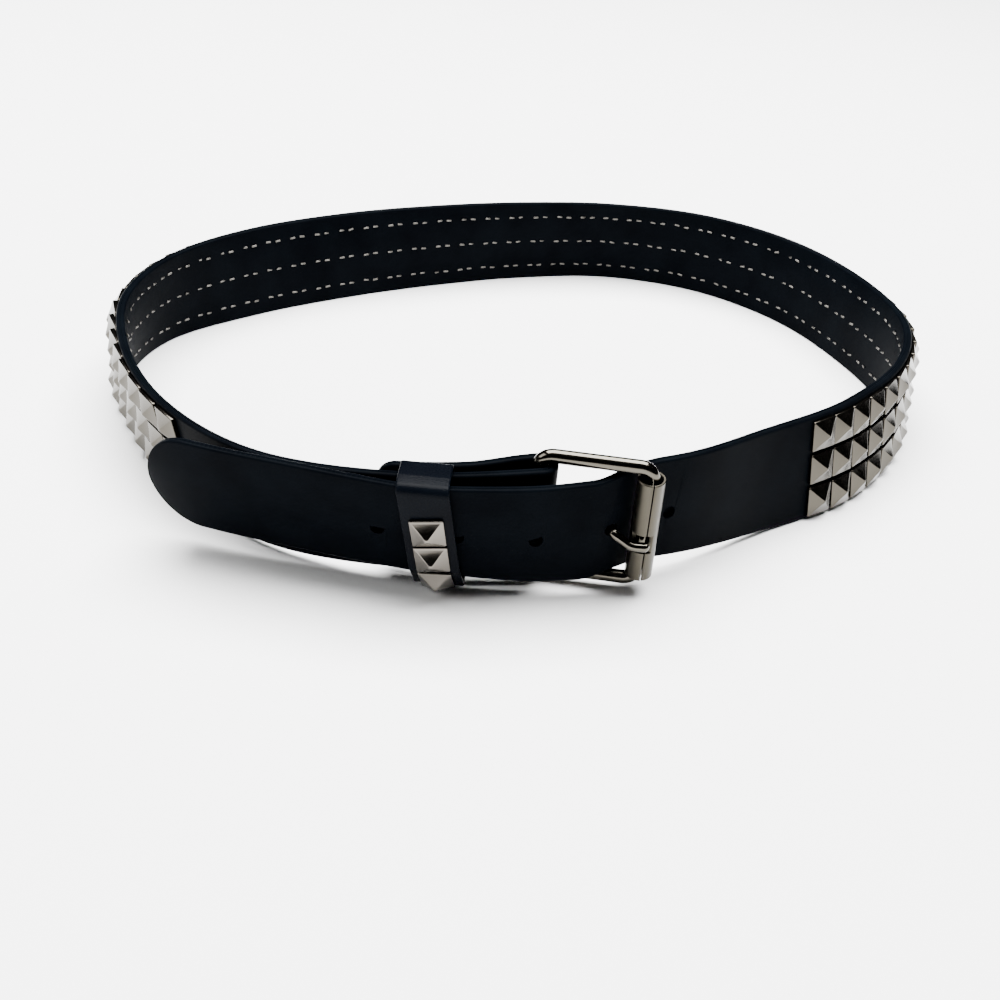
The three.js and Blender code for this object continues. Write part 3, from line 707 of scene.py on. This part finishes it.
keeperPiece = turnOutward(meshObject("keeper_band", [keeperMatrix @ p for p in points], faces))

keeperStuds = []
top, low, bottom = (corner[0] for corner in keeperCorners[:3])
for i in range(3):
    start, end = (bottom, low) if i == 2 else (low, top)
    direction = (end - start).normalized()
    out = Vector((0, -direction.z, direction.y))
    if i == 2:
        reach = (end - start).length / 2
    else:
        reach = keeper["stud"] / 2 + gap + (1 - i) * keeper["studPitch"]
    centre = start + direction * reach + out * (keeper["thickness"] / 2 + gap)
    centre.x += slantAt(centre.z)
    direction.x = -keeper["slant"] / strap["width"] * direction.z
    direction.normalize()
    points, faces = studMesh(keeper["stud"], keeper["studHeight"], studs["rim"], gap + 0.3)
    points = placed(points, centre, direction.cross(out), direction, out)
    name = "keeper_pyramid_" + str(i + 1)
    keeperStuds.append(turnOutward(meshObject(name, [keeperMatrix @ p for p in points], faces)))
print("stage: keeper")


# Buckle

halfHeight = strap["width"] / 2 + buckle["ease"] + buckle["wire"] / 2
frameCorners = [
    (Vector((0, 0, -halfHeight)), buckle["pivotBend"]),
    (Vector((0, 0, halfHeight)), buckle["pivotBend"]),
    (Vector((buckle["length"], 0, halfHeight)), buckle["rollerBend"]),
    (Vector((buckle["length"], 0, -halfHeight)), buckle["rollerBend"]),
]
pathOfFrame = bentPath(frameCorners, True, 5)
wireRadius = buckle["wire"] / 2
points, faces = wireMesh(pathOfFrame, lambda i: wireRadius, Vector((0, 1, 0)), True)
framePiece = turnOutward(meshObject("buckle_wire", [toBuckle @ p for p in points], faces))

# Prong: an eye round the pivot bar, then behind the free end, through its hole and over the roller
prongRadius = buckle["prong"] / 2
eye = wireRadius + gap + prongRadius
stand = strap["thickness"] / 2 + 2 * gap + prongRadius
front = buckle["roller"] / 2 + buckle["rollerOut"] - buckle["notchDepth"] + gap + prongRadius
prongStart = prongMiddle + prongOut * stand
prongEnd = Vector((buckle["length"] + buckle["roller"] / 4, -front, prongMiddle.z))
crook = prongStart.lerp(prongEnd, 0.5)
crook.z -= buckle["prongDroop"]
prongEnd.z -= buckle["prongDroop"] - buckle["prongLift"]
prongCorners = [
    (Vector((0, -eye, prongMiddle.z)), 0),
    (prongMiddle - prongOut * stand, buckle["prongBend"]),
    (prongStart, buckle["prongBend"]),
    (crook, 2 * buckle["prongBend"]),
    (prongEnd, 0),
]
prongPath = []
for i in range(buckle["eyeSteps"]):
    angle = math.radians(mix(buckle["eyeFrom"], buckle["eyeTo"], i / buckle["eyeSteps"]))
    prongPath.append(Vector((eye * math.cos(angle), -eye * math.sin(angle), prongMiddle.z)))
prongPath += bentPath(prongCorners, False, 6)
# rounded tip: the last radius of the path narrows to a dome
tipWay = (prongPath[-1] - prongPath[-2]).normalized()
tipStart = prongPath[-1] - tipWay * prongRadius
domeFrom = len(prongPath) - 1
prongPath = prongPath[:-1]


def domeAngle(step):
    return math.radians(buckle["domeAngle"] * step / buckle["domeSteps"])


for i in range(buckle["domeSteps"] + 1):
    prongPath.append(tipStart + tipWay * prongRadius * math.sin(domeAngle(i)))


def prongRadiusAt(i):
    if i < domeFrom:
        return prongRadius
    return prongRadius * math.cos(domeAngle(i - domeFrom))


points, faces = wireMesh(prongPath, prongRadiusAt, Vector((0, 0, 1)), False,
                         buckle["prongSides"])
prongPiece = turnOutward(meshObject("prong", [toBuckle @ p for p in points], faces))

# Roller: rolled sheet whose long seam shows at the front, with a notch for the prong
seam = {"angle": -78, "opening": 3.2, "lip": 0.18, "arcSteps": 60}
outerRadius = buckle["roller"] / 2
innerRadius = outerRadius - buckle["rollerWall"]
rings = []
arcSteps = seam["arcSteps"]
lip = seam["lip"]
halfLength = buckle["rollerLength"] / 2
for i in range(arcSteps + 1):
    turned = (360 - 2 * seam["opening"]) * i / arcSteps
    angle = math.radians(seam["angle"] + seam["opening"] + turned)
    toEdge = min(i, arcSteps - i)
    drop = lip if toEdge == 0 else 0
    way = Vector((math.cos(angle), math.sin(angle), 0))
    ring = []
    for radius, z in ((innerRadius, -halfLength + lip), (innerRadius + lip, -halfLength),
                      (outerRadius - lip, -halfLength), (outerRadius - drop, -halfLength + lip),
                      (outerRadius - drop, halfLength - lip), (outerRadius - lip, halfLength),
                      (innerRadius + lip, halfLength), (innerRadius, halfLength - lip)):
        ring.append(way * radius + Vector((0, 0, z)))
    rings.append(ring)
rollerPoints, rollerFaces = ringFaces(rings, False)
# the loose roller leans and hangs on its bar
place = Vector((buckle["length"], -buckle["rollerOut"], -buckle["rollerDrop"]))
loose = Matrix.Translation(place) @ Matrix.Rotation(-math.radians(buckle["rollerTurn"]), 4, "Y")
rollerPiece = turnOutward(meshObject("roller_tube", [loose @ p for p in rollerPoints], rollerFaces))
start = prongCorners[-2][0]
run = prongEnd - start
notchPoints, notchFaces = boxMesh(
    (-outerRadius * 3, -2 * outerRadius + prongRadius + gap, -buckle["notch"] / 2),
    (outerRadius * 3, prongRadius + gap, buckle["notch"] / 2))
turn = Matrix.Rotation(math.atan2(run.y, run.x), 4, "Z")
toNotch = Matrix.Translation(Vector((start.x + run.x / 2, start.y + run.y / 2, prongEnd.z))) @ turn
cutter = turnOutward(meshObject("notch_cutter", [toNotch @ p for p in notchPoints], notchFaces))
cutBy(rollerPiece, cutter)
rollerPiece.data.transform(toBuckle)
rollerPiece.data.name = "roller_tube"
rollerPiece.data.set_sharp_from_angle(angle=sharpAngle)
print("stage: buckle")


# Materials

def toLinear(text):
    out = []
    for i in (0, 2, 4):
        value = int(text[i:i + 2], 16) / 255
        out.append(value / 12.92 if value <= 0.04045 else ((value + 0.055) / 1.055) ** 2.4)
    return (*out, 1)


# One node with its settings; a value that is a socket of another node becomes a link
def addNode(tree, kind, inputs=None, **settings):
    node = tree.nodes.new(kind)
    for name, value in settings.items():
        setattr(node, name, value)
    for name, value in (inputs or {}).items():
        if isinstance(value, bpy.types.NodeSocket):
            tree.links.new(value, node.inputs[name])
        else:
            node.inputs[name].default_value = value
    return node


def newMaterial(name):
    material = bpy.data.materials.new(name)
    material.use_nodes = True
    material.node_tree.nodes.clear()
    return material, material.node_tree


def rampOf(tree, value, stops):
    ramp = addNode(tree, "ShaderNodeValToRGB", {"Fac": value})
    while len(ramp.color_ramp.elements) < len(stops):
        ramp.color_ramp.elements.new(0.5)
    for element, (place, colour) in zip(ramp.color_ramp.elements, stops):
        element.position = place
        element.color = colour
    return ramp.outputs["Color"]


def finishMaterial(tree, shader):
    addNode(tree, "ShaderNodeOutputMaterial", {"Surface": shader.outputs["BSDF"]})


# Feature size in mm as the scale of a texture that reads metres
def perMm(size):
    return 1 / (size * mm)


grainLook = {
    "cellShare": 0.6, "strength": 0.35, "crease": 14, "creaseStrength": 0.25, "creaseDepth": 0.5,
}


# Cowhide with a pigmented black finish, pressed and rolled: the eye sees a bluish black with hardly
# any mirror in it, a fine pressed grain where light grazes it, and faint broad creases.
# Grain, depth and crease are in mm, and the grain is drawn coarser than real so that it shows
def leatherMaterial(name, face, grain, depth, roughness, shine):
    material, tree = newMaterial(name)
    place = addNode(tree, "ShaderNodeTexCoord").outputs["Object"]
    cells = addNode(tree, "ShaderNodeTexVoronoi", {"Vector": place, "Scale": perMm(grain)},
                    feature="DISTANCE_TO_EDGE")
    fine = addNode(tree, "ShaderNodeTexNoise",
                   {"Vector": place, "Scale": perMm(grain * 0.5), "Detail": 4})
    broad = addNode(tree, "ShaderNodeTexNoise",
                    {"Vector": place, "Scale": perMm(grainLook["crease"]), "Detail": 3})
    height = addNode(tree, "ShaderNodeMath",
                     {0: cells.outputs["Distance"], 1: grainLook["cellShare"]}, operation="MULTIPLY")
    added = addNode(tree, "ShaderNodeMath",
                    {0: height.outputs[0], 1: fine.outputs["Fac"]}, operation="ADD")
    bump = addNode(tree, "ShaderNodeBump", {
        "Height": added.outputs[0], "Strength": grainLook["strength"], "Distance": depth * mm})
    wide = addNode(tree, "ShaderNodeBump", {
        "Height": broad.outputs["Fac"], "Strength": grainLook["creaseStrength"],
        "Distance": grainLook["creaseDepth"] * mm, "Normal": bump.outputs["Normal"]})
    colour = rampOf(tree, broad.outputs["Fac"], [(0.3, toLinear(face[0])), (0.7, toLinear(face[1]))])
    rough = addNode(tree, "ShaderNodeMapRange", {
        "Value": fine.outputs["Fac"], "From Min": 0.3, "From Max": 0.7,
        "To Min": roughness - 0.05, "To Max": roughness + 0.07})
    shader = addNode(tree, "ShaderNodeBsdfPrincipled", {
        "Base Color": colour, "Roughness": rough.outputs["Result"], "Normal": wide.outputs["Normal"],
        "Specular IOR Level": shine})
    finishMaterial(tree, shader)
    return material


plateLook = {"cloud": 5, "grit": 0.35, "gritDepth": 0.02}


# Nickel plate over stamped sheet or bent wire: a warm grey mirror, slightly clouded from handling,
# with a fine speckle. The base is darker than bare nickel, since the white ground fills most of what
# it reflects and the photo still shows mid grey
def nickelMaterial(name, colour, roughness, spread, speckle):
    material, tree = newMaterial(name)
    place = addNode(tree, "ShaderNodeTexCoord").outputs["Object"]
    cloud = addNode(tree, "ShaderNodeTexNoise",
                    {"Vector": place, "Scale": perMm(plateLook["cloud"]), "Detail": 4})
    grit = addNode(tree, "ShaderNodeTexNoise",
                   {"Vector": place, "Scale": perMm(plateLook["grit"]), "Detail": 3})
    rough = addNode(tree, "ShaderNodeMapRange", {
        "Value": cloud.outputs["Fac"], "From Min": 0.3, "From Max": 0.7,
        "To Min": roughness, "To Max": roughness + spread})
    bump = addNode(tree, "ShaderNodeBump", {
        "Height": grit.outputs["Fac"], "Strength": speckle, "Distance": plateLook["gritDepth"] * mm})
    shader = addNode(tree, "ShaderNodeBsdfPrincipled", {
        "Base Color": toLinear(colour), "Metallic": 1, "Roughness": rough.outputs["Result"],
        "Normal": bump.outputs["Normal"]})
    finishMaterial(tree, shader)
    return material


# strap: smooth finished leather, nearly without shine
leather = leatherMaterial("finished_leather", ("020305", "040609"), 0.7, 0.05, 0.4, 0.005)
# keeper: grainier and a little glossier, so that its top bend catches the light
band = leatherMaterial("keeper_leather", ("020306", "04060a"), 0.9, 0.14, 0.28, 0.018)
# strap studs: plated stamped sheet, mid grey facets with dark upper ones
studMetal = nickelMaterial("nickel_plated_studs", "403d37", 0.16, 0.06, 0.3)
# keeper studs: the same plate, a little smoother, with its base colour painted brighter than the strap
# studs' to stand in for the light these studs catch
keeperMetalPaintedBrighter = nickelMaterial("keeper_nickel_painted_brighter", "5d5953", 0.1, 0.05, 0.2)
# frame and prong: polished plate on wire, long sharp stripes of light
wireMetal = nickelMaterial("polished_nickel", "4a4740", 0.1, 0.05, 0.1)
# roller: rolled sheet, plated and finely brushed, so its light spreads softly
rollerMetal = nickelMaterial("brushed_nickel", "3b3831", 0.28, 0.06, 0.6)
# legs: thin plate over steel, pale dashes on the black inside
legMetal = nickelMaterial("stud_leg_steel", "565450", 0.3, 0.1, 0.3)

dressed = [
    (strapPiece, leather, "leather"), (keeperPiece, band, "leather"),
    (studPiece, studMetal, "nickel"), (legPiece, legMetal, "nickel"),
    (framePiece, wireMetal, "nickel"), (prongPiece, wireMetal, "nickel"),
    (rollerPiece, rollerMetal, "nickel"),
] + [(piece, keeperMetalPaintedBrighter, "nickel") for piece in keeperStuds]
for piece, material, slot in dressed:
    piece.data.materials.clear()
    piece.data.materials.append(material)
    toFrame(piece)
    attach(piece, "root")
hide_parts("strap")
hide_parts("stud_field")
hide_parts("keeper")
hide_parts("buckle_frame")
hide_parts("buckle_roller")
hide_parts("buckle_prong")
for i, piece in enumerate(keeperStuds):
    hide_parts("keeper_stud_" + str(i + 1))
print("stage: materials")


# Floor, light and camera

# White paper under the belt, half its side in metres: matt, so it shows soft shadows alone
floorReach = 6
floorPoints = [Vector((x * floorReach, y * floorReach, 0))
               for x, y in ((-1, -1), (1, -1), (1, 1), (-1, 1))]
floor = meshObject("floor", floorPoints, [(0, 1, 2, 3)], False)
material, tree = newMaterial("studio_paper")
finishMaterial(tree, addNode(tree, "ShaderNodeBsdfPrincipled", {
    "Base Color": toLinear("f4f4f4"), "Roughness": 0.9, "Specular IOR Level": 0.1}))
floor.data.materials.append(material)

world = bpy.data.worlds.new("studio")
bpy.context.scene.world = world
world.use_nodes = True
tree = world.node_tree
tree.nodes.clear()
way = addNode(tree, "ShaderNodeTexCoord").outputs["Generated"]
split = addNode(tree, "ShaderNodeSeparateXYZ", {"Vector": way})
# dark walls, a lighter ceiling: the studs' upper facets reflect the walls
sky = rampOf(tree, split.outputs["Z"], [
    (0.0, toLinear("2e2e2f")), (0.08, toLinear("2b2b2c")), (0.55, toLinear("1b1b1c")),
    (0.8, toLinear("303031")), (1.0, toLinear("707070"))])
room = addNode(tree, "ShaderNodeBackground", {"Color": sky, "Strength": 1.0})
addNode(tree, "ShaderNodeOutputWorld", {"Surface": room.outputs["Background"]})


# Soft box in metres and watts, turned to its target
def areaLight(name, place, target, size, power):
    data = bpy.data.lights.new(name, "AREA")
    data.shape = "RECTANGLE"
    data.size = size[0]
    data.size_y = size[1]
    data.energy = power
    lamp = bpy.data.objects.new(name, data)
    bpy.context.scene.collection.objects.link(lamp)
    lamp.location = place
    lamp.rotation_euler = (Vector(target) - Vector(place)).to_track_quat("-Z", "Y").to_euler()


areaLight("overhead", (0, 0.3, 1.6), (0, 0, 0), (2.0, 1.4), 265)
areaLight("left_bank", (-1.4, -0.3, 0.9), (0, 0, 0.02), (1.0, 0.8), 18)

# Camera as solved from the photo: focal length in pixels of a 1000-pixel frame, pitch and roll in
# degrees, and its place in the loop's own mm
view = {
    "focal": 1341.2, "frame": 1000, "sensor": 36, "pitch": 31.77, "roll": 5.18,
    "place": (-2, -478, 245.7), "clip": 0.01,
}
data = bpy.data.cameras.new("photo_view")
data.sensor_width = view["sensor"]
data.lens = view["focal"] * view["sensor"] / view["frame"]
data.clip_start = view["clip"]
camera = bpy.data.objects.new("photo_view", data)
bpy.context.scene.collection.objects.link(camera)
tilt = Matrix.Rotation(math.radians(90 - view["pitch"]), 4, "X")
roll = Matrix.Rotation(math.radians(view["roll"]), 4, "Z")
camera.matrix_world = Matrix.Translation((Vector(view["place"]) + shift) * mm) @ tilt @ roll
bpy.context.scene.camera = camera
print("stage: studio")
